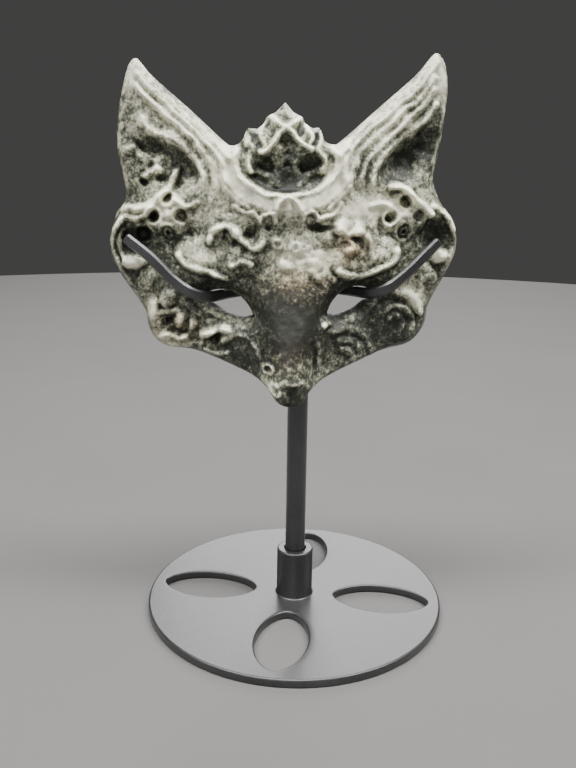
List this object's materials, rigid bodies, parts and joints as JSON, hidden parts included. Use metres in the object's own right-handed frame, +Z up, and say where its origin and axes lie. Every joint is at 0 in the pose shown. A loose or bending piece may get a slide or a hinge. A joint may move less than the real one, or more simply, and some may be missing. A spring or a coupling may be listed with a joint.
{
  "type": "fox mask on stand",
  "caption": "Carved stone fox mask with tall ears and a lotus crown, hung by its eye holes on the bent fork of a stand with a slotted round foot plate.",
  "frame": {"origin": "centre of the foot plate's underside", "axes": "+Z up along the rod, the mask faces -Y, +X to the viewer's right"},
  "size_m": [0.0977, 0.09, 0.1605],
  "materials": {
    "carved_stone": "polished, mottled dark green-grey and cream",
    "black_metal": "satin black powder coat"
  },
  "bodies": {
    "root": {"mask": "carved_stone", "stand_base": "black_metal", "stand_collar": "black_metal", "stand_rod": "black_metal", "stand_fork": "black_metal"}
  },
  "joints": []
}
